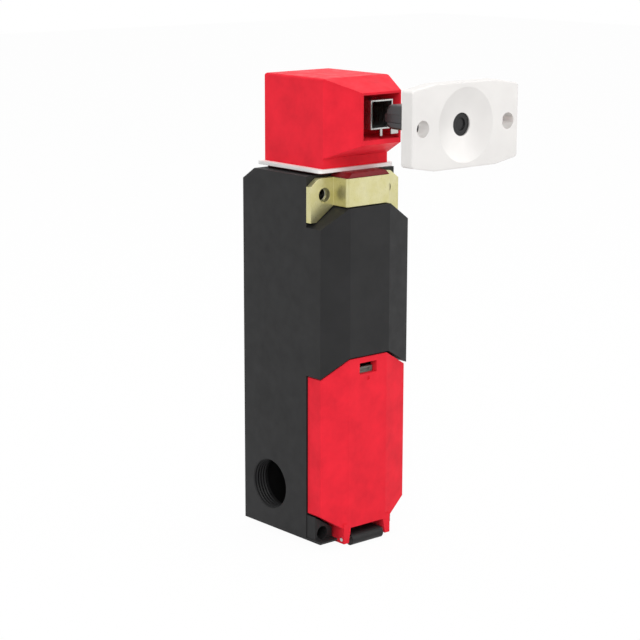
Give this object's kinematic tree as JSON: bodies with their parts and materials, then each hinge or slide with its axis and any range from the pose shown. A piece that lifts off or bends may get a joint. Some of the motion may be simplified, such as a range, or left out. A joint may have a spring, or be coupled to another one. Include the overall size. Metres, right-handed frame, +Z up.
{
  "type": "tongue interlock switch",
  "caption": "Guard interlock switch: black body with hinged red wiring lid, red turnable head with square tongue mouth, solenoid lock, and a grooved steel tongue on a swivelling cast plate.",
  "frame": {"origin": "on the mounting face (the back), midway between the two lower fixing holes", "axes": "+Z up along the body, +X to the right seen from the front, -Y towards the front, where the tongue comes in"},
  "size_m": [0.0604, 0.114, 0.2109],
  "materials": {
    "body_black": "moulded glass-filled plastic, satin",
    "lid_red": "moulded plastic, satin gloss",
    "head_red": "painted die casting",
    "base_red": "moulded plastic, matt",
    "plate_white": "moulded plastic, satin",
    "passivated_steel": "yellow passivated",
    "bright_steel": "bright",
    "dark_steel": "blackened",
    "cast_zinc": "satin silver-white die casting",
    "brass": "bright",
    "copper": "enamelled wire",
    "grey_plastic": "moulded",
    "black_plastic": "moulded",
    "white_plastic": "moulded",
    "seal_rubber": "matt"
  },
  "bodies": {
    "switch": {"armature_spring": "bright_steel", "body_housing": "body_black", "cam_shaft": "bright_steel", "carrier_spring": "bright_steel", "contact_block": "grey_plastic", "earth_terminal": "brass", "entry_plug": "black_plastic", "fixing_bushes": "bright_steel", "head_bracket": "passivated_steel", "head_housing": "head_red", "head_screws": "bright_steel", "hinge_pin": "bright_steel", "key_guide": "bright_steel", "lock_guide": "black_plastic", "plunger_bushing": "brass", "solenoid_bobbin": "white_plastic", "solenoid_core": "bright_steel", "solenoid_winding": "copper", "solenoid_yoke": "passivated_steel", "terminal_clamps": "passivated_steel", "terminal_screws": "bright_steel", "turret_base": "base_red", "turret_plate": "plate_white", "turret_seal": "seal_rubber"},
    "tongue": {"actuator_tongue": "dark_steel"},
    "swivel": {"swivel_ball": "black_plastic", "swivel_pin": "bright_steel"},
    "plate": {"actuator_plate": "cast_zinc", "socket_ring": "black_plastic"},
    "cam": {"cam_drum": "bright_steel"},
    "plunger": {"plunger_rod": "bright_steel", "contact_carrier": "white_plastic", "contact_bridges": "brass"},
    "armature": {"armature": "bright_steel", "armature_pin": "bright_steel"},
    "lock": {"lock_slide": "bright_steel"},
    "lid": {"wiring_lid": "lid_red", "lid_latch": "grey_plastic", "lid_seal": "seal_rubber"}
  },
  "joints": [
    {"name": "tongue_slide", "type": "slide", "parent": "switch", "child": "tongue", "axis": [0, 1, 0], "range_m": [-0.01, 0.0402]},
    {"name": "swivel_pitch", "type": "hinge", "parent": "tongue", "child": "swivel", "pos_m": [0, -0.10724, 0.186], "axis": [1, 0, 0], "range_deg": [-4, 4]},
    {"name": "swivel_yaw", "type": "hinge", "parent": "swivel", "child": "plate", "pos_m": [0, -0.10724, 0.186], "axis": [0, 0, 1], "range_deg": [-4, 4]},
    {"name": "cam_turn", "type": "hinge", "parent": "switch", "child": "cam", "pos_m": [0, -0.0268, 0.17525], "axis": [-1, 0, 0], "range_deg": [0, 55]},
    {"name": "plunger_slide", "type": "slide", "parent": "switch", "child": "plunger", "axis": [0, 0, 1], "range_m": [0, 0.005], "deforming": ["carrier_spring"]},
    {"name": "armature_slide", "type": "slide", "parent": "switch", "child": "armature", "axis": [0, 0, -1], "range_m": [0, 0.0036], "deforming": ["armature_spring"]},
    {"name": "lock_slide_in", "type": "slide", "parent": "switch", "child": "lock", "axis": [0, 1, 0], "range_m": [0, 0.0036]},
    {"name": "lid_hinge", "type": "hinge", "parent": "switch", "child": "lid", "pos_m": [0, -0.0542, -0.0038], "axis": [1, 0, 0], "range_deg": [0, 90]}
  ],
  "couplings": [
    {"joint": "cam_turn", "follows": "plunger_slide", "rad_per_m": 191.98},
    {"joint": "lock_slide_in", "follows": "armature_slide", "ratio": 1}
  ]
}
